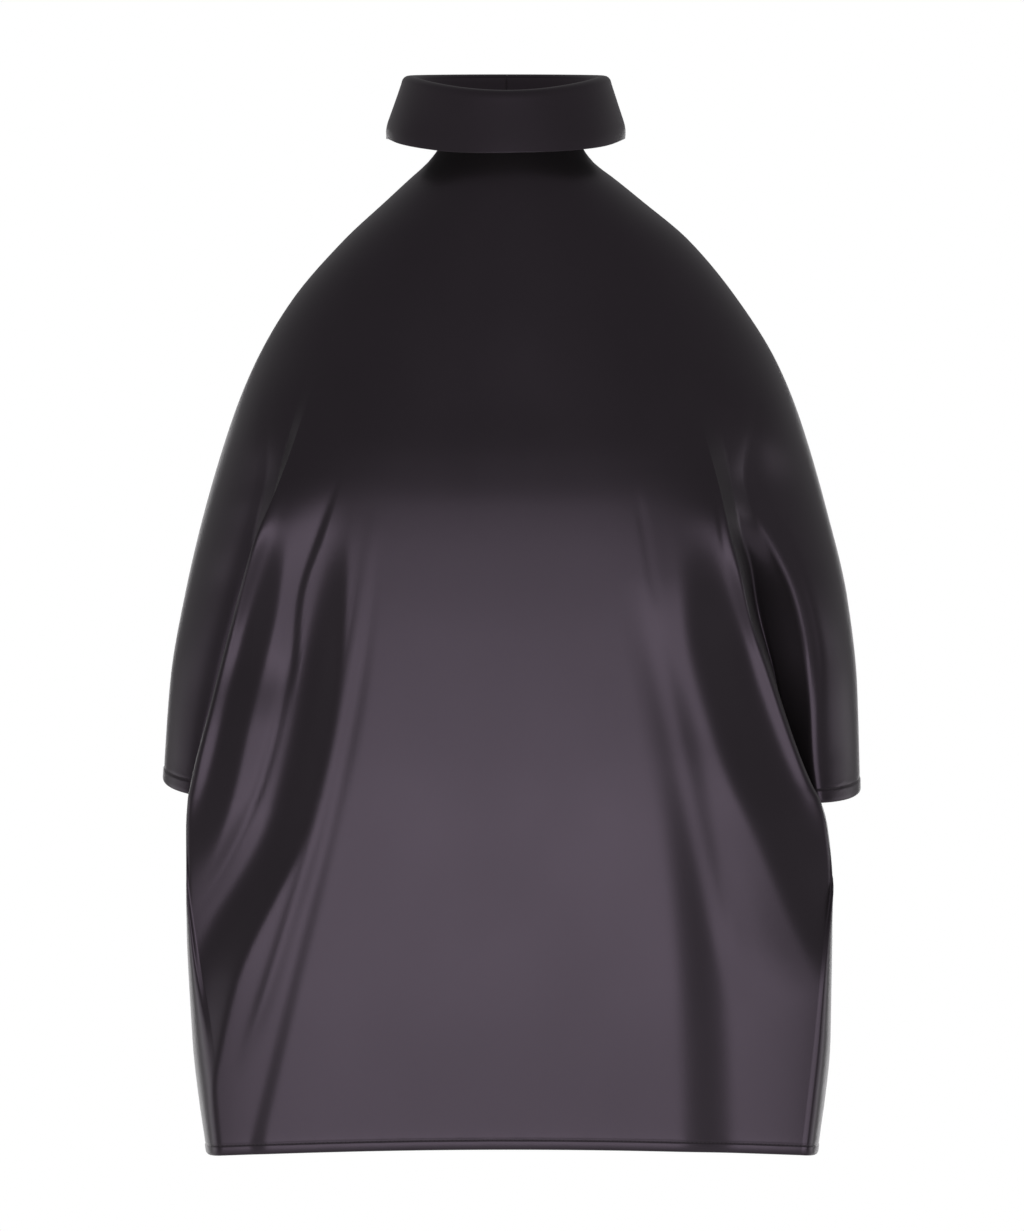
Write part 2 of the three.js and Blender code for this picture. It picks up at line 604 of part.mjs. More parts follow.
function collarGeometry() {
  const gapAngle = COLLAR_GAP / RIM_DEPTH;
  const grid = COLLAR_SHARES.map((share) => {
    const row = [];
    for (let i = 0; i <= COLLAR_STEPS; i += 1) {
      const angle = -Math.PI + gapAngle + ((2 * Math.PI - 2 * gapAngle) * i) / COLLAR_STEPS;
      row.push(collarPoint(angle, share));
    }
    return row;
  });
  const seamAxes = (i, j) => {
    const axes = i === 0 ? ["z"] : [];
    if (j === 0 || j === COLLAR_STEPS) axes.push("x");
    return axes;
  };
  return clothWall(grid, () => true, 1, COLLAR_WALL, seamAxes);
}

// A frame on the collar's fall at the nape, with its z axis out of the cloth and its y axis up
function napeFrame(down) {
  const share = RIM_SHARE + ((1 - RIM_SHARE) * down) / FALL_HEIGHT;
  const angle = Math.PI - PAIR_SIDE / FALL_DEPTH;
  const here = collarPoint(angle, share);
  const beside = collarPoint(angle - 0.01, share).sub(here);
  const below = collarPoint(angle, share + 0.01).sub(here);
  const out = beside.clone().cross(below).normalize();
  const up = beside.clone().cross(out).normalize();
  const frame = new THREE.Matrix4().makeBasis(up.clone().cross(out), up, out);
  return frame.setPosition(here.addScaledVector(out, SEAM_GAP));
}

// A covered button: a shank under a domed head
function buttonGeometry() {
  const profile = [
    new THREE.Vector2(0, 0),
    new THREE.Vector2(SHANK_RADIUS, 0),
    new THREE.Vector2(SHANK_RADIUS, SHANK_HEIGHT),
  ];
  const domeSteps = 5;
  for (let i = 0; i < domeSteps; i += 1) {
    const turn = (i / domeSteps) * (Math.PI / 2);
    const out = BUTTON_RADIUS * Math.cos(turn);
    profile.push(new THREE.Vector2(out, SHANK_HEIGHT + BUTTON_HEAD * Math.sin(turn)));
  }
  profile.push(new THREE.Vector2(0, SHANK_HEIGHT + BUTTON_HEAD));
  const geometry = new THREE.LatheGeometry(profile, BUTTON_SIDES);
  return geometry.rotateX(Math.PI / 2).translate(PAIR_SIDE - BUTTON_SIDE, 0, 0);
}

// A loop of cloth cord: two legs from the left end of the collar and a turn round the shank
function loopGeometry() {
  const middle = PAIR_SIDE - BUTTON_SIDE;
  const turnRadius = SHANK_RADIUS + LOOP_PLAY + LOOP_CORD;
  const end = PAIR_SIDE - LOOP_END;
  const points = [new THREE.Vector3(end, LOOP_LEG, LOOP_CORD)];
  points.push(new THREE.Vector3((end + middle + turnRadius) / 2, LOOP_LEG, LOOP_CORD));
  const turnSteps = 8;
  for (let i = 0; i <= turnSteps; i += 1) {
    const turn = Math.PI * (LOOP_TURN.from + (LOOP_TURN.through * i) / turnSteps);
    points.push(new THREE.Vector3(
      middle + turnRadius * Math.cos(turn),
      turnRadius * Math.sin(turn),
      LOOP_CORD,
    ));
  }
  points.push(new THREE.Vector3((end + middle + turnRadius) / 2, -LOOP_LEG, LOOP_CORD));
  points.push(new THREE.Vector3(end, -LOOP_LEG, LOOP_CORD));
  const section = new THREE.Shape();
  section.absarc(0, 0, LOOP_CORD, 0, 2 * Math.PI, false);
  return new THREE.ExtrudeGeometry(section, {
    curveSegments: 4,
    steps: 24,
    bevelEnabled: false,
    extrudePath: new THREE.CatmullRomCurve3(points, false, "catmullrom", 0.5),
  });
}

const satin = { color: 0x2c2529, roughness: 0.35, metalness: 0 };
const top = new THREE.Group();

function addPiece(name, geometry) {
  const piece = new THREE.Mesh(geometry, new THREE.MeshStandardMaterial(satin));
  piece.name = name;
  top.add(piece);
  return piece;
}

addPiece("front_panel", panelGeometry("front", ["left", "right"], FRONT_STEPS));
addPiece("back_left", panelGeometry("back", ["left"], BACK_STEPS));
addPiece("back_right", panelGeometry("back", ["right"], BACK_STEPS));
addPiece("collar_band", collarGeometry());
Object.entries(BUTTON_DOWN).forEach(([place, down]) => {
  addPiece(`collar_button_${place}`, buttonGeometry()).applyMatrix4(napeFrame(down));
  addPiece(`collar_loop_${place}`, loopGeometry()).applyMatrix4(napeFrame(down));
});

export default top;
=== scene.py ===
import math

import bmesh
import bpy
from mathutils import Matrix, Vector


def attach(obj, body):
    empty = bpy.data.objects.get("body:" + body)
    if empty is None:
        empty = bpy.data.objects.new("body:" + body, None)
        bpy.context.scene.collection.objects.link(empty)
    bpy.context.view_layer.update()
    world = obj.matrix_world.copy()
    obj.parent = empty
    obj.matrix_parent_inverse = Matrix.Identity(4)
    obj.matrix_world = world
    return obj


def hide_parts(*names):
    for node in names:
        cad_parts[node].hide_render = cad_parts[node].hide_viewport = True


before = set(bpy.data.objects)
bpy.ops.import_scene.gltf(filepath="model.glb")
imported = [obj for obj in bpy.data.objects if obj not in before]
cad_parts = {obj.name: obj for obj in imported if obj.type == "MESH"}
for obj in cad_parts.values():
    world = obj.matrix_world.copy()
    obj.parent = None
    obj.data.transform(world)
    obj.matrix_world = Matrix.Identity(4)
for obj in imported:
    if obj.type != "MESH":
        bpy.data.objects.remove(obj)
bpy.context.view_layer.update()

# The studio: a pale floor, a long soft window of light in front at the height of the cloth, and
# softer light from the sides and behind. The camera stands level with the middle of the top, so
# far off that its sides are seen square on.
camera = bpy.data.objects.new("camera", bpy.data.cameras.new("camera"))
camera.data.lens = 398.8
camera.data.clip_end = 60
camera.location = (0.0007, -9.0, -0.307)
camera.rotation_euler = (math.pi / 2, 0, 0)
bpy.context.collection.objects.link(camera)
bpy.context.scene.camera = camera
bpy.context.scene.view_settings.view_transform = "Standard"

floor_height = -1.1
floor_mesh = bmesh.new()
bmesh.ops.create_circle(floor_mesh, cap_ends=True, segments=96, radius=2.2)
bmesh.ops.translate(floor_mesh, verts=floor_mesh.verts, vec=(0, 0, floor_height))
floor = bpy.data.objects.new("floor", bpy.data.meshes.new("floor"))
floor_mesh.to_mesh(floor.data)
floor_mesh.free()
bpy.context.collection.objects.link(floor)
floor_paint = bpy.data.materials.new("pale floor")
floor_paint.use_nodes = True
floor_shader = floor_paint.node_tree.nodes["Principled BSDF"]
floor_shader.inputs["Base Color"].default_value = (0.82, 0.82, 0.82, 1)
floor_shader.inputs["Roughness"].default_value = 0.85
floor_shader.inputs["Emission Color"].default_value = (1, 1, 1, 1)
floor_shader.inputs["Emission Strength"].default_value = 0.35
floor.data.materials.append(floor_paint)

world = bpy.data.worlds.new("studio")
bpy.context.scene.world = world
world.use_nodes = True
walls = world.node_tree
walls.nodes.clear()
dim_walls = walls.nodes.new("ShaderNodeBackground")
dim_walls.inputs["Color"].default_value = (1, 0.98, 1, 1)
dim_walls.inputs["Strength"].default_value = 0.22
white_walls = walls.nodes.new("ShaderNodeBackground")
white_walls.inputs["Color"].default_value = (1, 1, 1, 1)
white_walls.inputs["Strength"].default_value = 1.0
seen_direct = walls.nodes.new("ShaderNodeLightPath")
either = walls.nodes.new("ShaderNodeMixShader")
walls_out = walls.nodes.new("ShaderNodeOutputWorld")
walls.links.new(seen_direct.outputs["Is Camera Ray"], either.inputs[0])
walls.links.new(dim_walls.outputs[0], either.inputs[1])
walls.links.new(white_walls.outputs[0], either.inputs[2])
walls.links.new(either.outputs[0], walls_out.inputs["Surface"])


def soft_window(name, place, aim, wide, high, watts):
    lamp = bpy.data.lights.new(name, "AREA")
    lamp.shape = "RECTANGLE"
    lamp.size = wide
    lamp.size_y = high
    lamp.energy = watts
    window = bpy.data.objects.new(name, lamp)
    window.location = place
    window.rotation_euler = (Vector(aim) - Vector(place)).to_track_quat("-Z", "Y").to_euler()
    window.visible_camera = False
    bpy.context.collection.objects.link(window)


soft_window("front window", (0, -3.4, -0.72), (0, 0, -0.6), 3.6, 1.04, 44.5)
soft_window("left window", (-3.1, 0.9, -0.85), (0, 0.3, -0.5), 3.0, 1.0, 12)
soft_window("right window", (3.1, 0.9, -0.85), (0, 0.3, -0.5), 3.0, 1.0, 11.5)
soft_window("back window", (0, 3.6, -0.5), (0, 0, -0.45), 3.0, 1.4, 22)


# The front: one panel of heavy silk satin for the body and both arm sides, cut with no middle seam.
# It hangs from the collar, its long side tucks fall from the bust to the underarm, and its hems are
# turned up twice and stitched. Sizes are in millimetres, and a name ending in _z is a height.
cloth_wall = 1.3
seam_gap = 0.3
neck_z = 3
back_neck_rise, back_neck_depth, neck_rise_ends_z = 7, 57, -70
arm_hem_z, arm_hem_lift_z = -427, -200
arm_hem_rise = {"left": 12, "right": 5}
arm_hem_dip = {"left": 0, "right": 4}
hem_z, hem_lift_z = -660, -560
front_hem_rise, front_hem_half = 5, 205
hem_stitch_up, arm_stitch_up = 6.5, 9
hem_stands_out, hem_slope, hem_fold_turn, hem_fold_reach = 0.45, 0.8, 1.1, 0.55
stitch_dent, stitch_dent_width, flat_past_hem = 0.35, 0.7, 4
hem_rows = (0, 0.3, 0.8, 1.6, 3.2, 5.2, 5.9, 6.5, 7.1, 7.8, 8.5, 9.0, 9.5, 10.3, 12)
below_arm_hem, arm_hem_start = 1.5, 0.12

# height: depth of the front, depth of the back, squareness of the plan
depths = {
    3: (56, 57, 2.0), -33: (73, 72, 2.0), -70: (87, 85, 2.1), -120: (103, 96, 2.2),
    -170: (115.2, 103, 2.6), -205: (123.6, 106, 3.0), -235: (127.6, 107.5, 3.2),
    -270: (129.2, 109, 3.2), -320: (130.3, 110, 3.2), -400: (130.8, 111, 3.2),
    -520: (127, 110, 3.2), -660: (119, 107, 3.2),
}
# height: overarm line on the left, on the right
overarm = {
    3: (46.5, 46.5), -6.6: (53.5, 53), -20: (68, 70), -33: (82, 86), -59: (110, 117),
    -99: (144.5, 150), -139: (168, 175), -178: (184, 191), -238: (202, 208.5), -297: (215, 222),
    -356: (224.5, 228.5), -427: (229.5, 230.5),
}
# height: side of the body on the left, on the right
body_sides = {
    -427: (213, 206), -502: (213.5, 211.5), -581: (210, 210.5), -620: (206, 207),
    -660: (200.5, 202),
}
# height: left edge and floor of the tuck, right edge and floor
tucks = {
    "front": {
        3: (30, 37, 28, 36), -33: (57, 65, 53, 66), -99: (105, 117, 92, 111),
        -178: (136, 142, 122, 136), -209: (147, 150, 132, 142), -232: (156, 156, 138, 146),
        -257: (167, 162, 144, 153), -277: (173, 167, 150, 160), -307: (181, 171, 156.5, 165),
        -343: (190.5, 174, 169, 173), -373: (198, 175, 179, 178), -401: (205.5, 176, 189.2, 179),
        -419: (209.5, 176, 197, 179), -427: (211, 176, 201.5, 179), -445: (212, 180, 206.5, 182),
        -480: (211, 194, 209.5, 195), -520: (206, 212, 205, 210), -590: (194, 209.5, 198, 210.3),
        -660: (188, 200, 190, 201.5),
    },
    "back": {
        3: (30, 37, 30, 37), -33: (57, 66, 58, 68), -99: (103, 118, 107, 121),
        -178: (136, 148, 142, 152), -232: (154, 158, 158, 162), -257: (163, 166, 166, 169),
        -356: (188, 175, 188, 176), -427: (205, 175, 201, 178), -445: (207, 180, 204, 182),
        -480: (206, 194, 204, 195), -520: (200, 212, 198, 210), -590: (184, 209.5, 184, 210.3),
        -660: (172, 200, 173, 201.5),
    },
}
# height: depth of the tuck's edge in front, behind, and of its floor on the left, on the right
tuck_depths = {
    -130: (94, 88, 90, 90), -170: (99.5, 90, 92, 92), -205: (108.5, 92, 92, 92),
    -220: (113.5, 93, 88, 90), -235: (117, 94, 80, 80), -250: (119, 95, 70, 66),
    -266: (119.8, 95.5, 60, 58), -289: (120, 96, 52, 54), -310: (120, 96, 45, 51),
    -358: (120, 96, 30, 44), -400: (119.5, 96, 14, 30), -427: (119, 96, 1.55, 1.55),
    -520: (117, 95, 0.15, 0.15), -660: (111, 92, 0.15, 0.15),
}
# height: ridge of the arm side on the left, on the right, and its depth on the left, on the right
arm_ridges = {
    -130: (140, 138, 92, 92), -178: (152, 148, 87, 87), -209: (158, 151, 83, 83),
    -232: (163, 156.5, 80, 80), -244: (166, 162, 77, 77), -266: (171, 173, 72, 71),
    -289: (176, 184, 66, 66), -310: (181, 190.5, 62, 62), -332: (187, 194.5, 57, 58),
    -358: (193, 196.5, 52, 56), -393: (202, 197.5, 47, 54), -427: (208, 201, 44, 53),
}
# The front is an oval at the top and lies flat from the bust down: where it goes from one to the
# other, and how squarely it turns in at a closed and at an open tuck.
flat_span = (-130, -225)
edge_ease, edge_square = 5, 8
widest_edge, narrowest_tuck = 0.985, 0.02
# Each tuck opens between two heights. Its cloth turns out over the edge, back behind it, in to the
# floor, and up from the floor to the ridge of the arm side. A closed one only dips.
tuck_span = {"left": (-225, -350), "right": (-220, -305)}
tuck_out = 2
tuck_back = {"left": 0.8, "right": 0.66}
tuck_in = {"left": -8, "right": 2}
left_middle_depth, right_middle_share = 50, 0.8
closed_run, closed_fall = 0.67, (0.5, 0.7)
floor_run = {"left": 0.4, "right": 0.3}
ridge_turn = {"left": 0.28, "right": 0.25}
floor_climb = {"left": 0, "right": 0.35}
ridge_share, ridge_lip = 0.4, 0.94
ridge_ease, closed_ease = {"left": 0.92, "right": 0.97}, 0.88
arm_swell = 0.5
# Below the arm hem the tuck is joined to the side as a rounded corner.
corner_z = -500
corner_run, corner_flat, corner_swell, corner_depth = 0.8, 0.985, 0.2, 0.62

# Each fold opens at its top over a share of its length and closes at its foot over another, but one
# that ends near the hem stays open. A step is narrower where it opens.
fold_opening, fold_closing, longest_closing = 0.3, 0.3, 60
open_at_hem, first_width = 15, 0.6
# kind, top, foot, five places evenly spaced in height, size, and two more. A step drops towards the
# side: its drop, its length, and 0.5 for a sharp edge up to 1 for a soft one. A ridge: its rise, or
# its fall where negative, and its width inwards and outwards.
front_folds = [
    ("ridge", -205, -445, (-146, -168, -184.5, -199.5, -212), 2.4, 6, 4),
    ("step", -245, -490, (-143, -151, -166, -180, -200), 10, 26, 0.9),
    ("step", -212, -380, (-108, -122, -135.5, -139.5, -146), 2.2, 6, 0.5),
    ("step", -225, -655, (-102, -109, -130, -179, -201), 16, 32, 0.72),
    ("ridge", -225, -610, (-88, -101, -119, -147, -178), 1.4, 5, 4),
    ("step", -245, -650, (-80, -89, -109, -134, -158), 2, 13, 1),
    ("ridge", -320, -510, (-145, -150, -162, -183, -212), -1.1, 2.5, 4),
    ("step", -235, -560, (104, 110, 132, 168, 205), 18, 50, 1),
    ("ridge", -225, -565, (85, 96, 113, 132, 152), 1.0, 6, 9),
    ("step", -225, -565, (90, 101, 118, 138, 158), 4, 50, 1),
    ("ridge", -240, -445, (138.5, 152, 167.5, 185.5, 206), 2.4, 6, 4),
    ("step", -280, -665, (64, 81, 96, 104, 107), 7, 42, 1),
    ("step", -390, -665, (78, 84, 90, 94, 96), 2.5, 56, 1),
    ("ridge", -222, -310, (81.5, 85, 88.5, 92, 95.5), -0.5, 2.5, 4),
    ("ridge", -222, -272, (132.5, 134.5, 136.5, 138.5, 140.5), -0.4, 2, 3),
]
arm_folds = [
    ("ridge", -214, -372, (147, 176, 191.5, 199.5, 201.5), -2.2, 2.5, 4),
    ("ridge", -394, -424, (212, 215, 218, 220, 221), 1.4, 3, 2),
]
back_folds = [
    ("step", -230, -620, (-92, -106, -128, -160, -196), 10, 34, 0.8),
    ("step", -250, -500, (-132, -143, -156, -176, -205), 7, 26, 0.8),
    ("ridge", -210, -662, (-52, -62, -70, -84, -102), 3, 12, 12),
    ("step", -215, -640, (95, 104, 124, 152, 190), 9, 36, 0.75),
    ("step", -270, -520, (140, 148, 160, 180, 206), 8, 28, 0.8),
    ("ridge", -240, -662, (50, 60, 74, 90, 110), 3, 12, 12),
]


def smooth(start, end, value):
    t = min(max((value - start) / (end - start), 0), 1)
    return t * t * (3 - 2 * t)


def bezier(a, b, c, d, t):
    s = 1 - t
    return s**3 * a + 3 * s * s * t * b + 3 * s * t * t * c + t**3 * d


def between(heights, sizes, z):
    """The size at a height, on a soft line through the sizes at the heights above and below."""
    last = len(heights) - 1
    z = min(max(z, heights[last]), heights[0])
    k = 0
    while k < last - 1 and z < heights[k + 1]:
        k += 1

    def slope(i):
        return (sizes[i + 1] - sizes[i]) / (heights[i + 1] - heights[i])

    def lean(i):
        if i == 0:
            return slope(0)
        if i == last:
            return slope(last - 1)
        before, after = slope(i - 1), slope(i)
        return 0 if before * after <= 0 else 2 * before * after / (before + after)

    span = heights[k + 1] - heights[k]
    t = (z - heights[k]) / span
    return (
        (2 * t**3 - 3 * t * t + 1) * sizes[k]
        + (3 * t * t - 2 * t**3) * sizes[k + 1]
        + (t**3 - 2 * t * t + t) * span * lean(k)
        + (t**3 - t * t) * span * lean(k + 1)
    )


def column_at(table, column, z):
    return between(list(table), [row[column] for row in table.values()], z)


def neck_rise(backward):
    return back_neck_rise * min(max(backward, 0), 1) ** 2


def mix(a, b, share):
    return a + (b - a) * share


def side_sizes(face, side, z):
    """Everything that one side of the body measures at a height."""
    above = z > arm_hem_z - 0.01
    column = 0 if side == "left" else 1
    outline = column_at(overarm if above else body_sides, column, z)
    edge = column_at(tucks[face], 2 * column, z)
    floor_x = column_at(tucks[face], 2 * column + 1, z)
    edge_share = min(edge / outline, widest_edge)
    deep = column_at(tuck_depths, 0 if face == "front" else 1, z)
    foot = column_at(tuck_depths, 2 + column, z)
    ridge_depth = column_at(arm_ridges, 2 + column, z)
    opened = smooth(*tuck_span[side], z)
    joined = smooth(arm_hem_z, corner_z, z)
    middle = max(left_middle_depth, foot) if side == "left" else right_middle_share * foot
    inner = edge + tuck_in[side]
    closed = [mix(deep, ridge_depth, share) for share in closed_fall]
    tuck_x = (
        edge, edge + tuck_out * opened,
        mix(mix(edge, floor_x, closed_run), inner, opened), floor_x,
    )
    tuck_y = (
        deep, mix(deep, deep * tuck_back[side], opened),
        mix(closed[0], middle, opened), mix(closed[1], foot, opened),
    )
    swollen = outline + corner_swell * (outline - floor_x)
    corner_x = (edge, mix(edge, outline, corner_run), swollen, floor_x)
    corner_y = (deep, corner_flat * deep, corner_depth * deep, seam_gap / 2)
    return {
        "outline": outline,
        "depth": column_at(depths, 0 if face == "front" else 1, z),
        "square": column_at(depths, 2, z),
        "flat": smooth(*flat_span, z),
        "edge_share": edge_share,
        "floor_share": max(floor_x / outline, edge_share + narrowest_tuck) if above else 1,
        "tuck_x": [mix(one, other, joined) for one, other in zip(tuck_x, corner_x)],
        "tuck_y": [mix(one, other, joined) for one, other in zip(tuck_y, corner_y)],
        "opened": opened,
        "turned": opened * (1 - joined),
        "joined": joined,
        "ridge": column_at(arm_ridges, column, z),
        "ridge_depth": ridge_depth,
    }


def plan_point(side, zone, t, at):
    """A place in the plan of one side: a plain oval, drawn flat in front and in to the tuck."""
    rim = seam_gap / 2
    edge, outline = at["tuck_x"][0], at["outline"]
    edge_angle = math.asin(at["edge_share"])
    floor_angle = math.asin(min(at["floor_share"], 1))
    spread = 0.5 * t + 0.5 * math.sin(t * math.pi / 2)
    share = at["edge_share"] * spread
    if zone == "tuck":
        share = math.sin(mix(edge_angle, floor_angle, t))
    if zone == "arm":
        share = math.sin(mix(floor_angle, math.pi / 2, t))
    fall = max(1 - share ** at["square"], 0) ** (1 / at["square"])
    plain = (outline * share, rim + (at["depth"] - rim) * fall)

    if zone == "body":
        deep = at["tuck_y"][0]
        rounded = max(1 - spread**edge_square, 0) ** (1 / edge_square)
        drop = mix(1 - spread**edge_ease, rounded, at["turned"])
        drawn = (edge * spread, deep + (at["depth"] - deep) * drop)
    elif zone == "tuck":
        drawn = (bezier(*at["tuck_x"], t), bezier(*at["tuck_y"], t))
    else:
        floor_x, foot = at["tuck_x"][3], at["tuck_y"][3]
        ridge, high = at["ridge"], at["ridge_depth"]
        if t < ridge_share:
            s = t / ridge_share
            climb = ridge - floor_x
            run = (
                mix(floor_x + climb / 3, floor_x + floor_run[side] * climb, at["opened"]),
                mix(ridge - climb / 3, ridge - ridge_turn[side] * climb, at["opened"]),
            )
            rise = (
                mix(mix(foot, high, 1 / 3), mix(foot, high, floor_climb[side]), at["opened"]),
                mix(mix(foot, high, 2 / 3), ridge_lip * high, at["opened"]),
            )
            drawn = (bezier(floor_x, *run, ridge, s), bezier(foot, *rise, high, s))
        else:
            s = (t - ridge_share) / (1 - ridge_share)
            ease = mix(closed_ease, ridge_ease[side], at["opened"])
            drawn = (
                bezier(ridge, mix(ridge, outline, arm_swell), outline, outline, s),
                bezier(high, ease * high, arm_swell * high, rim, s),
            )
    return tuple(mix(one, other, at["flat"]) for one, other in zip(plain, drawn))


def open_folds(z, folds):
    """The folds open at a height: kind, place, size by how far open, and widths along the row."""
    found = []
    for kind, top, foot, places, size, first, second in folds:
        length = top - foot
        opens = smooth(top, top - fold_opening * length, z)
        closing = min(longest_closing, fold_closing * length)
        closes = smooth(foot + closing, foot, z) if foot > hem_z + open_at_hem else 0
        strength = size * opens * (1 - closes)
        if strength:
            heights = [top - length * i / 4 for i in range(5)]
            place = between(heights, places, z)
            lean = between(heights, places, z - 2) - between(heights, places, z + 2)
            slant = math.hypot(1, lean / 4)
            if kind == "step":
                widening = mix(first_width, 1, opens)
                found.append((kind, place, strength, first * slant * widening, second))
            else:
                found.append((kind, place, strength, first * slant, second * slant))
    return found


def fold_relief(x, folds):
    """How far the folds carry the cloth out, or in where negative, at an x."""
    rise = 0
    for kind, place, size, first, second in folds:
        off = (x - place) * (1 if place > 0 else -1)
        if kind == "step":
            rise -= size * smooth(0, 1, min(max(off / first, 0), 1) ** second)
        else:
            off /= first if off < 0 else second
            rise += size * math.exp(-off * off)
    return rise


def turned_hem(distance, stitched):
    """How far a hem stands out at a distance from its fold, with the dent of its stitches."""
    if distance > stitched + flat_past_hem:
        return 0
    full = hem_stands_out * (1 - smooth(stitched - hem_slope, stitched + hem_slope, distance))
    dent = stitch_dent * math.exp(-(((distance - stitched) / stitch_dent_width) ** 2))
    return full - dent - hem_fold_turn * math.exp(-distance / hem_fold_reach)


def cloth_rows(upper, lower):
    """Heights of the rows from the hem to the neck, closer along both hems."""
    low = [hem_z + gap for gap in hem_rows]
    step = (arm_hem_z - below_arm_hem - low[-1]) / lower
    low += [low[-1] + step * (i + 1) for i in range(lower)]
    high = [arm_hem_z + gap for gap in hem_rows]
    step = (neck_z - high[-1]) / upper
    return low + high + [high[-1] + step * (i + 1) for i in range(upper)]


def panel(name, face, sides, steps, folds):
    """A panel of cloth: a bmesh grid laid on the form of the garment, with its sewing marks."""
    half = [("body", i / steps["body"]) for i in range(steps["body"] + 1)]
    half += [("tuck", (i + 1) / steps["tuck"]) for i in range(steps["tuck"])]
    half += [("arm", (i + 1) / steps["arm"]) for i in range(steps["arm"])]
    places = []
    if "left" in sides:
        places += [("left", zone, t) for zone, t in reversed(half)]
    if "right" in sides:
        places += [("right", zone, t) for zone, t in half[(1 if "left" in sides else 0):]]
    heights = cloth_rows(steps["upper"], steps["lower"])
    front = face == "front"
    laid = []
    for row_z in heights:
        sizes = {side: side_sizes(face, side, row_z) for side in sides}
        body_folds = open_folds(row_z, folds)
        sleeve_folds = open_folds(row_z, arm_folds if front else [])
        row = []
        for side, zone, t in places:
            x, y = plan_point(side, zone, t, sizes[side])
            row.append((-x if side == "left" else x, -y if front else y))
        shaped = []
        for i, (side, zone, t) in enumerate(places):
            x, y = row[i]
            before, after = row[max(i - 1, 0)], row[min(i + 1, len(row) - 1)]
            run = math.hypot(after[0] - before[0], after[1] - before[1]) or 1
            turn = 1 if front else -1
            out_x = (after[1] - before[1]) / run * turn
            out_y = (before[0] - after[0]) / run * turn
            fading = mix(max(1 - 2 * t, 0), (1 - t) ** 2, sizes[side]["joined"])
            facing = out_y * abs(out_y)
            reach = {"body": -turn, "tuck": -turn * fading, "arm": facing}[zone]
            near = sleeve_folds if zone == "arm" else body_folds
            rise = reach * fold_relief(x, near) if reach else 0
            z = row_z
            if front:
                swept = max(1 - (x / front_hem_half) ** 2, 0)
                z += front_hem_rise * smooth(hem_lift_z, hem_z, row_z) * swept
            else:
                at_neck = 1 - smooth(neck_z, neck_rise_ends_z, row_z)
                z += neck_rise(y / back_neck_depth) * at_neck
            if zone == "arm":
                lift = arm_hem_rise[side] * t * t - arm_hem_dip[side] * 4 * t * (1 - t)
                z += lift * smooth(arm_hem_lift_z, arm_hem_z, row_z)
            proud = turned_hem(row_z - hem_z, hem_stitch_up)
            if zone == "arm" and row_z > arm_hem_z - 0.5:
                started = smooth(0, arm_hem_start, t)
                proud += turned_hem(row_z - arm_hem_z, arm_stitch_up) * started
            shaped.append(Vector((x + out_x * proud, y + rise + out_y * proud, z)) / 1000)
        laid.append(shaped)

    wide, high = len(places) - 1, len(heights) - 1
    cloth = bmesh.new()
    bmesh.ops.create_grid(cloth, x_segments=wide, y_segments=high, size=0.5)
    woven = cloth.loops.layers.uv.new("weave")
    sewing = cloth.loops.layers.uv.new("sewing")
    across = [[0.0] for _ in laid]
    for r, row in enumerate(laid):
        for i in range(wide):
            across[r].append(across[r][-1] + (row[i + 1] - row[i]).length)
    middle = wide // 2 if len(sides) == 2 else (wide if sides == ("left",) else 0)
    where = {}
    for vert in cloth.verts:
        column, row = round((vert.co.x + 0.5) * wide), round((vert.co.y + 0.5) * high)
        where[vert] = row, column
        vert.co = laid[row][column]
    for cell in cloth.faces:
        spots = [(*where[corner.vert], corner) for corner in cell.loops]
        sleeve = any(places[column][1] == "arm" for row, column, corner in spots)
        for row, column, corner in spots:
            hem_here = arm_hem_z + arm_stitch_up - hem_stitch_up if sleeve else hem_z
            from_seam = min(abs(across[row][column] - across[row][e]) for e in (0, wide))
            corner[woven].uv = (across[row][column] - across[row][middle], heights[row] / 1000)
            corner[sewing].uv = ((heights[row] - hem_here) / 1000, from_seam)
    under = [
        cell for cell in cloth.faces
        if min(heights[where[v][0]] for v in cell.verts) < arm_hem_z - 1
        and any(places[where[v][1]][1] == "arm" for v in cell.verts)
    ]
    bmesh.ops.delete(cloth, geom=under, context="FACES")
    if not front:
        bmesh.ops.reverse_faces(cloth, faces=cloth.faces)
    for cell in cloth.faces:
        cell.smooth = True
    made = bpy.data.objects.new(name, bpy.data.meshes.new(name))
    cloth.to_mesh(made.data)
    cloth.free()
    bpy.context.collection.objects.link(made)
    wall = made.modifiers.new("cloth wall", "SOLIDIFY")
    wall.thickness = cloth_wall / 1000
    wall.offset = -1
    wall.material_offset = 1
    return made


# Grain of the satin in turns a metre: across and along the warp, along and across the weft, the
# soft clouds of its face, and the pucker along its hems and seams.
warp_grain, weft_grain, cloud_grain = (2600, 210), (260, 3400), (11, 7, 11)
hem_grain, seam_grain = (110, 18, 1), (24, 90, 1)
# How much the clouds and the threads change its tone and its shine; its darkest and lightest tone
# and that of the stitches, as shares of its colour; and the tint of its shine.
cloud_tone, thread_tone, cloud_shine = 0.5, 0.3, 0.09
dark_share, light_share, stitch_light = 0.55, 1.45, 2.2
purple_shine = (0.95, 0.76, 1.0, 1)
# The stitches and how far each pucker reaches, in metres, and how far each lifts the face, in
# millimetres.
stitch_half_width, stitch_length, stitch_share = 0.0004, 0.0029, 0.7
hem_reach, seam_reach, seam_line = 0.003, 0.009, 0.0012
warp_lift, weft_lift, stitch_lift = 0.022, 0.012, 0.25
hem_lift, seam_lift, seam_sink = 0.35, 0.7, -0.5


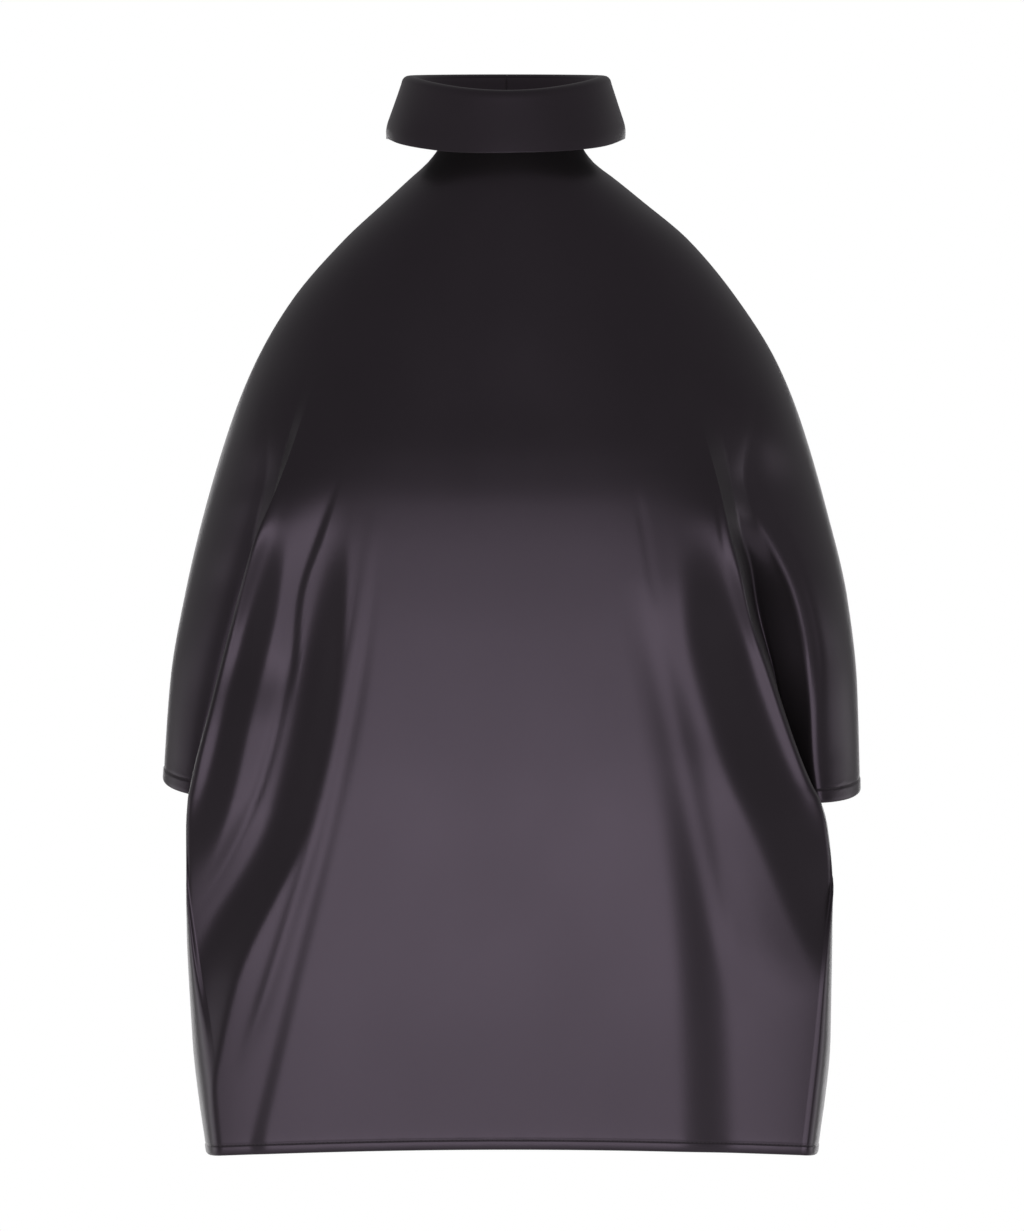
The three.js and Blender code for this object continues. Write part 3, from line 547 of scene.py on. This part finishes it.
def satin(name, colour, roughness, follows, sewn=False):
    """Heavy silk satin, near black with a soft purple shine, a fine warp grain and a cloudy face.

    It follows the "weave" of a panel, or the "object" on a small trim. A sewn panel also shows the
    stitches of its hems and the pucker of its seams."""
    finish = bpy.data.materials.new(name)
    finish.use_nodes = True
    tree = finish.node_tree
    shader = tree.nodes["Principled BSDF"]
    shader.inputs["Specular Tint"].default_value = purple_shine
    shader.inputs["Sheen Weight"].default_value = 0.04
    shader.inputs["Sheen Roughness"].default_value = 0.4

    def step(kind, *fed, **settings):
        node = tree.nodes.new(kind)
        for setting, value in settings.items():
            setattr(node, setting, value)
        for socket, value in zip(node.inputs, fed):
            if isinstance(value, bpy.types.NodeSocket):
                tree.links.new(value, socket)
            elif value is not None:
                socket.default_value = value
        return node.outputs[0]

    def reckon(operation, *fed):
        return step("ShaderNodeMath", *fed, operation=operation)

    def grain(place, stretch, detail):
        laid = step("ShaderNodeMapping", place, None, None, stretch)
        noise = tree.nodes.new("ShaderNodeTexNoise")
        noise.inputs["Scale"].default_value = 1
        noise.inputs["Detail"].default_value = detail
        tree.links.new(laid, noise.inputs["Vector"])
        return noise.outputs[0]

    if follows == "object":
        place = tree.nodes.new("ShaderNodeTexCoord").outputs["Object"]
        through = warp_grain[0], weft_grain[0]
    else:
        place = step("ShaderNodeUVMap", uv_map="weave")
        through = 1, 1
    warp = grain(place, (*warp_grain, through[0]), 2)
    weft = grain(place, (*weft_grain, through[1]), 1)
    clouds = grain(place, cloud_grain, 3)
    face = reckon("MULTIPLY_ADD", clouds, cloud_tone, 1 - cloud_tone / 2)
    thread = reckon("MULTIPLY_ADD", warp, thread_tone, 1 - thread_tone / 2)
    tone = reckon("MULTIPLY", face, thread)
    dark, light = [(*(c * share for c in colour), 1) for share in (dark_share, light_share)]
    mixed = step("ShaderNodeMix", data_type="RGBA")
    blend = mixed.node
    tree.links.new(reckon("SUBTRACT", tone, 0.5), blend.inputs["Factor"])
    blend.inputs["A"].default_value = dark
    blend.inputs["B"].default_value = light
    shown = blend.outputs["Result"]
    rough = reckon("MULTIPLY_ADD", clouds, cloud_shine, roughness - cloud_shine / 2)
    relief = reckon("MULTIPLY_ADD", warp, warp_lift, reckon("MULTIPLY", weft, weft_lift))

    if sewn:
        marks = tree.nodes.new("ShaderNodeSeparateXYZ")
        tree.links.new(step("ShaderNodeUVMap", uv_map="sewing"), marks.inputs[0])
        woven = tree.nodes.new("ShaderNodeSeparateXYZ")
        tree.links.new(place, woven.inputs[0])
        from_line = reckon("ABSOLUTE", reckon("SUBTRACT", marks.outputs[0], hem_stitch_up / 1000))
        on_line = reckon("LESS_THAN", from_line, stitch_half_width)
        along = reckon("FRACT", reckon("MULTIPLY", woven.outputs[0], 1 / stitch_length))
        dash = reckon("LESS_THAN", along, stitch_share)
        stitch = reckon("MULTIPLY", on_line, dash)
        thread_mix = tree.nodes.new("ShaderNodeMix")
        thread_mix.data_type = "RGBA"
        tree.links.new(stitch, thread_mix.inputs["Factor"])
        tree.links.new(shown, thread_mix.inputs["A"])
        thread_mix.inputs["B"].default_value = (*(c * stitch_light for c in colour), 1)
        shown = thread_mix.outputs["Result"]
        near_line = reckon("EXPONENT", reckon("MULTIPLY", from_line, -1 / hem_reach))
        near_seam = reckon("EXPONENT", reckon("MULTIPLY", marks.outputs[1], -1 / seam_line))
        round_seam = reckon("EXPONENT", reckon("MULTIPLY", marks.outputs[1], -1 / seam_reach))
        hem_pucker = reckon("MULTIPLY", near_line, grain(place, hem_grain, 1))
        seam_pucker = reckon("MULTIPLY", round_seam, grain(place, seam_grain, 1))
        for lift, mark in (
            (stitch_lift, stitch), (hem_lift, hem_pucker), (seam_lift, seam_pucker),
            (seam_sink, near_seam),
        ):
            relief = reckon("MULTIPLY_ADD", mark, lift, relief)

    bump = tree.nodes.new("ShaderNodeBump")
    bump.inputs["Strength"].default_value = 1
    bump.inputs["Distance"].default_value = 0.001
    tree.links.new(relief, bump.inputs["Height"])
    tree.links.new(bump.outputs[0], shader.inputs["Normal"])
    tree.links.new(shown, shader.inputs["Base Color"])
    tree.links.new(rough, shader.inputs["Roughness"])
    return finish


# The panel's cells across the body, tuck and arm of one side, and above and below the arm hem.
front_steps = {"body": 84, "tuck": 14, "arm": 24, "upper": 82, "lower": 44}
outer_satin = satin("dark satin", (0.0155, 0.0135, 0.0145), 0.36, "weave", sewn=True)
wrong_side = satin("wrong side of the satin", (0.024, 0.021, 0.0225), 0.56, "weave")
front = panel("front_satin", "front", ("left", "right"), front_steps, front_folds)
front.data.materials.append(outer_satin)
front.data.materials.append(wrong_side)
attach(front, "root")
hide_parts("front_panel")

# The back: two halves of the same satin, each with its arm side, joined by a seam down the middle
# and sewn to the front along the overarms and the sides of the body.
back_steps = {"body": 60, "tuck": 12, "arm": 22, "upper": 70, "lower": 38}
for side in ("left", "right"):
    half_back = panel(f"back_{side}_satin", "back", (side,), back_steps, back_folds)
    half_back.data.materials.append(outer_satin)
    half_back.data.materials.append(wrong_side)
    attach(half_back, "root")
    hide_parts(f"back_{side}")

# The collar: a band of the same satin, its stand and its fall in one, folded over at the rim so
# that the fall hangs outside the stand. Its ends meet at the middle of the back.
collar_wall = 1.9
collar_shift, shift_ends = -3, 0.3
rim_radius = 3.2
rim_z = 47.5
rim_tilt = 0.049
rim_front_dip = 8.7
rim_width, rim_depth = 67.3, 70
fall_height, fall_width, fall_depth = 40.4, 79.5, 75
band_height = 90
stand_share, rim_share = 0.4, 0.6
neck_width, neck_depth = 45.2, 55.7
# size, waves round the neck and start of each ripple of the fall
fall_ripples = ((0.8, 3, 0.5), (0.6, 7, 2.1))
# Its lower edge kicks out at the front left, rolls in at the sides and rises in shallow waves.
kick_out, kick_angle, kick_spread, kick_share, kick_rise = 2.2, -0.95, 0.26, 1.02, 0.15
roll_in, roll_from = 2.6, 0.88
edge_wave, edge_waves, edge_start = 0.8, 4, 1.2


def collar_point(angle, share):
    """A place on the collar, from the angle round the neck and the share of the band passed."""
    reach_x, reach_y = math.sin(angle), -math.cos(angle)
    edge_z = rim_z + rim_tilt * rim_depth * reach_y - rim_front_dip * max(-reach_y, 0) ** 2
    foot_z = neck_z + seam_gap + neck_rise(reach_y)
    low_z = edge_z - rim_radius
    inner_width, inner_depth = rim_width - 2 * rim_radius, rim_depth - 2 * rim_radius
    if share < stand_share:
        t = share / stand_share
        wide = neck_width + (inner_width - neck_width) * t
        deep = neck_depth + (inner_depth - neck_depth) * t
        z = foot_z + (low_z - foot_z) * t
    elif share < rim_share:
        turn = (share - stand_share) / (rim_share - stand_share) * math.pi
        wide = inner_width + rim_radius * (1 - math.cos(turn))
        deep = inner_depth + rim_radius * (1 - math.cos(turn))
        z = low_z + rim_radius * math.sin(turn)
    else:
        t = (share - rim_share) / (1 - rim_share)
        wide = rim_width + (fall_width - rim_width) * t
        deep = rim_depth + (fall_depth - rim_depth) * t
        z = low_z - (fall_height - rim_radius) * t
    shift = collar_shift * smooth(0, shift_ends, share)
    return Vector((shift + wide * reach_x, deep * reach_y, z))


def soft_fall(angle, share):
    """How far the fall stands off its plain cone, as soft cloth does, and how its edge rises."""
    low = smooth(rim_share, 1, share)
    ripple = sum(size * math.sin(waves * angle + start) for size, waves, start in fall_ripples)
    at_kick = ((angle - kick_angle) / kick_spread) ** 2 + ((share - kick_share) / kick_rise) ** 2
    rolled = roll_in * max((share - roll_from) / (1 - roll_from), 0) ** 2 * math.sin(angle) ** 2
    stands_off = low * ripple + kick_out * math.exp(-at_kick) - rolled
    return stands_off, low * edge_wave * math.sin(edge_waves * angle + edge_start)


# The band's ends stop just short of each other, the last row but one lies close to the lower edge,
# and the inside of the stand is paler than the fall.
around, along_band = 180, 44
end_angle = 0.0003
edge_row, stand_inside = 0.996, 0.44
band = bmesh.new()
bmesh.ops.create_grid(band, x_segments=around, y_segments=along_band, size=0.5)
band_weave = band.loops.layers.uv.new("weave")
band_place = {}
for vert in band.verts:
    angle = (vert.co.x * 2) * (math.pi - end_angle)
    share = 0.5 - vert.co.y
    if 1 - 1.5 / along_band < share < 1:
        share = edge_row
    band_place[vert] = angle, share
    stands_off, rises = soft_fall(angle, share)
    vert.co = (collar_point(angle, share) + Vector((
        stands_off * math.sin(angle), -stands_off * math.cos(angle), rises,
    ))) / 1000
for cell in band.faces:
    cell.smooth = True
    cell.material_index = int(max(band_place[v][1] for v in cell.verts) < stand_inside)
    for corner in cell.loops:
        angle, share = band_place[corner.vert]
        corner[band_weave].uv = (angle * fall_depth / 1000, share * band_height / 1000)
bmesh.ops.reverse_faces(band, faces=band.faces)
collar = bpy.data.objects.new("collar_satin", bpy.data.meshes.new("collar_satin"))
band.to_mesh(collar.data)
band.free()
bpy.context.collection.objects.link(collar)
band_wall = collar.modifiers.new("collar wall", "SOLIDIFY")
band_wall.thickness = collar_wall / 1000
band_wall.offset = -1
collar.data.materials.append(satin("dark collar satin", (0.017, 0.0147, 0.0158), 0.37, "weave"))
collar.data.materials.append(satin("inside of the stand", (0.058, 0.05, 0.054), 0.5, "weave"))
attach(collar, "root")
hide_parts("collar_band")

# The closing: two shank buttons covered in the satin, sewn on at the nape to the right of the seam.
# Each is a domed head gathered under its rim on a thread shank.
trim_satin = satin("satin of the covered buttons", (0.0165, 0.0143, 0.0154), 0.4, "object")
# down from the rim; then from the seam to the middle of the pair and to the buttons
button_down = {"upper": 12, "lower": 28}
pair_side, button_side = 4.5, 8
button_rim, button_head, shank_radius, shank_height = 5.4, 3, 2.6, 2.6
button_edge, dome_steps, spin_steps = 0.5, 9, 64
gathers, gather_depth, gather_rise = 16, 0.035, 1.1
button_off, loop_off = 0.3, 0.35
# from the sewn foot up the shank and under the rim: out, up; the dome follows
button_under = [
    (0, 0), (shank_radius, 0), (shank_radius * 0.86, 0.45 * shank_height),
    (shank_radius, shank_height), (button_rim * 0.72, shank_height - 0.1),
    (button_rim * 0.94, shank_height + 0.15),
]


def nape_place(down, off):
    """A place on the fall by the seam at the nape: x to the seam's left, z out of the cloth."""
    share = rim_share + (1 - rim_share) * down / fall_height
    angle = math.pi - pair_side / fall_depth
    here = collar_point(angle, share)
    beside = collar_point(angle - 0.01, share) - here
    below = collar_point(angle, share + 0.01) - here
    out = beside.cross(below).normalized()
    up = beside.cross(out).normalized()
    turned = Matrix((up.cross(out), up, out)).transposed().to_4x4()
    return Matrix.Translation((here + out * off) / 1000) @ turned @ Matrix.Scale(0.001, 4)


for which, down in button_down.items():
    turned_button = bmesh.new()
    outline = list(button_under)
    for i in range(dome_steps):
        turn = i / dome_steps * math.pi / 2
        domed = shank_height + button_edge + (button_head - button_edge) * math.sin(turn)
        outline.append((button_rim * math.cos(turn), domed))
    outline.append((0, shank_height + button_head))
    points = [turned_button.verts.new((out, 0, up)) for out, up in outline]
    lines = [turned_button.edges.new(pair) for pair in zip(points, points[1:])]
    bmesh.ops.spin(
        turned_button, geom=points + lines, cent=(0, 0, 0), axis=(0, 0, 1),
        angle=2 * math.pi, steps=spin_steps, use_merge=True,
    )
    bmesh.ops.remove_doubles(turned_button, verts=turned_button.verts, dist=0.0001)
    for vert in turned_button.verts:
        round_it = math.atan2(vert.co.y, vert.co.x)
        gathered = 1 - smooth(shank_height, shank_height + gather_rise, vert.co.z)
        gathered *= smooth(0.5 * shank_height, shank_height, vert.co.z)
        swell = 1 + gather_depth * math.sin(gathers * round_it) * gathered
        vert.co.x *= swell
        vert.co.y *= swell
    sideways = (pair_side - button_side, 0, 0)
    bmesh.ops.translate(turned_button, verts=turned_button.verts, vec=sideways)
    seat = nape_place(down, button_off)
    bmesh.ops.transform(turned_button, verts=turned_button.verts, matrix=seat)
    bmesh.ops.recalc_face_normals(turned_button, faces=turned_button.faces)
    for cell in turned_button.faces:
        cell.smooth = True
    button_name = f"covered_button_{which}"
    button = bpy.data.objects.new(button_name, bpy.data.meshes.new(button_name))
    turned_button.to_mesh(button.data)
    turned_button.free()
    bpy.context.collection.objects.link(button)
    button.data.materials.append(trim_satin)
    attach(button, "root")
    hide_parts(f"collar_button_{which}")

# The loops: a rolled cord of the satin for each button, its two ends sewn to the left end of the
# collar and its turn held round the button's shank.
cord_radius, turn_radius, leg_apart = 0.85, 5.05, 1.7
cord_end, sewn_length, leg_start = 10.5, 1.5, 2.2
# Each turn leaves a mouth to either side of the legs, in half circles.
turn_mouth, turn_steps = 0.2, 14
for which, down in button_down.items():
    centre = pair_side - button_side
    leg = (cord_end, cord_end - sewn_length, centre + turn_radius + leg_start)
    route = [(x, leg_apart) for x in leg]
    for i in range(turn_steps + 1):
        turn = math.pi * (turn_mouth + (2 - 2 * turn_mouth) * i / turn_steps)
        route.append((centre + turn_radius * math.cos(turn), turn_radius * math.sin(turn)))
    route += [(x, -leg_apart) for x in reversed(leg)]
    rolled = bpy.data.curves.new(f"cord_loop_{which}", "CURVE")
    rolled.dimensions = "3D"
    rolled.bevel_depth = cord_radius
    rolled.bevel_resolution = 4
    rolled.use_fill_caps = True
    path = rolled.splines.new("NURBS")
    path.points.add(len(route) - 1)
    for spot, (x, y) in zip(path.points, route):
        spot.co = (x, y, cord_radius, 1)
    path.order_u = 4
    path.use_endpoint_u = True
    path.resolution_u = 5
    laid_cord = bpy.data.objects.new(f"cord_loop_{which}_path", rolled)
    bpy.context.collection.objects.link(laid_cord)
    evaluated = laid_cord.evaluated_get(bpy.context.evaluated_depsgraph_get())
    loop_mesh = bpy.data.meshes.new_from_object(evaluated)
    bpy.data.objects.remove(laid_cord)
    loop_mesh.transform(nape_place(down, loop_off))
    loop_mesh.name = f"cord_loop_{which}"
    for cell in loop_mesh.polygons:
        cell.use_smooth = True
    cord_loop = bpy.data.objects.new(f"cord_loop_{which}", loop_mesh)
    bpy.context.collection.objects.link(cord_loop)
    loop_mesh.materials.clear()
    loop_mesh.materials.append(trim_satin)
    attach(cord_loop, "root")
    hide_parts(f"collar_loop_{which}")
